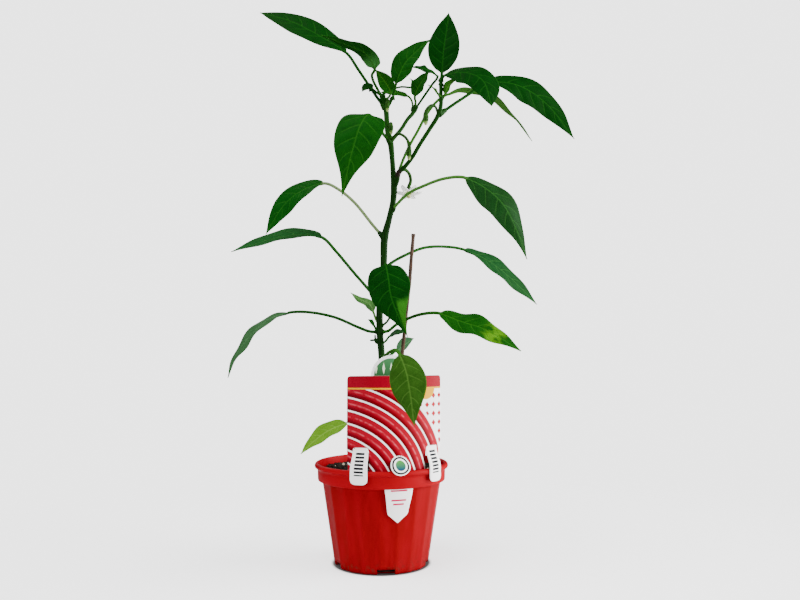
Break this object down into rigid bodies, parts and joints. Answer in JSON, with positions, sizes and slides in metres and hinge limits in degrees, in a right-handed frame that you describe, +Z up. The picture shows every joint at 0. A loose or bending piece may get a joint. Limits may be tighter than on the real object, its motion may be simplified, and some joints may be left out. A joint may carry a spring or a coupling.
{
  "type": "potted chilli pepper plant",
  "caption": "Young chilli pepper plant with long glossy leaves, buds and a white flower, in a red nursery pot with a cane and a picture card.",
  "frame": {"origin": "centre of the pot's underside, on the surface that it stands on", "axes": "+Z up along the stem, -Y towards the side that the picture card faces, +X to the right seen from there"},
  "size_m": [0.3919, 0.1795, 0.6125],
  "materials": {
    "pot": "satin",
    "soil": "matte",
    "stem": "satin",
    "cane": "matte",
    "card": "satin",
    "leaf": "satin",
    "young_leaf": "satin",
    "calyx": "satin",
    "bud_petal": "matte",
    "petal": "matte",
    "anther": "matte"
  },
  "bodies": {
    "root": {"pot": "pot", "soil": "soil", "stem": "stem", "cane": "cane", "card": "card", "leaf_01": "leaf", "leaf_02": "leaf", "leaf_03": "leaf", "leaf_04": "young_leaf", "leaf_05": "leaf", "leaf_06": "young_leaf", "leaf_07": "leaf", "leaf_08": "leaf", "leaf_09": "leaf", "leaf_10": "leaf", "leaf_11": "leaf", "leaf_12": "leaf", "leaf_13": "young_leaf", "leaf_14": "young_leaf", "leaf_15": "young_leaf", "leaf_16": "leaf", "leaf_17": "leaf", "leaf_18": "leaf", "leaf_19": "leaf", "leaf_20": "leaf", "leaf_21": "leaf", "leaf_22": "leaf", "leaf_23": "leaf", "leaf_24": "leaf", "leaf_25": "young_leaf", "leaf_26": "young_leaf", "leaf_27": "leaf", "leaf_28": "leaf", "leaf_29": "leaf", "leaf_30": "leaf", "bud_1_calyx": "calyx", "bud_1_tip": "bud_petal", "bud_2_calyx": "calyx", "bud_2_tip": "bud_petal", "bud_3_calyx": "calyx", "bud_3_tip": "bud_petal", "bud_4_calyx": "calyx", "bud_4_tip": "bud_petal", "flower_calyx": "calyx", "flower_corolla": "petal", "flower_anthers": "anther"}
  },
  "joints": []
}
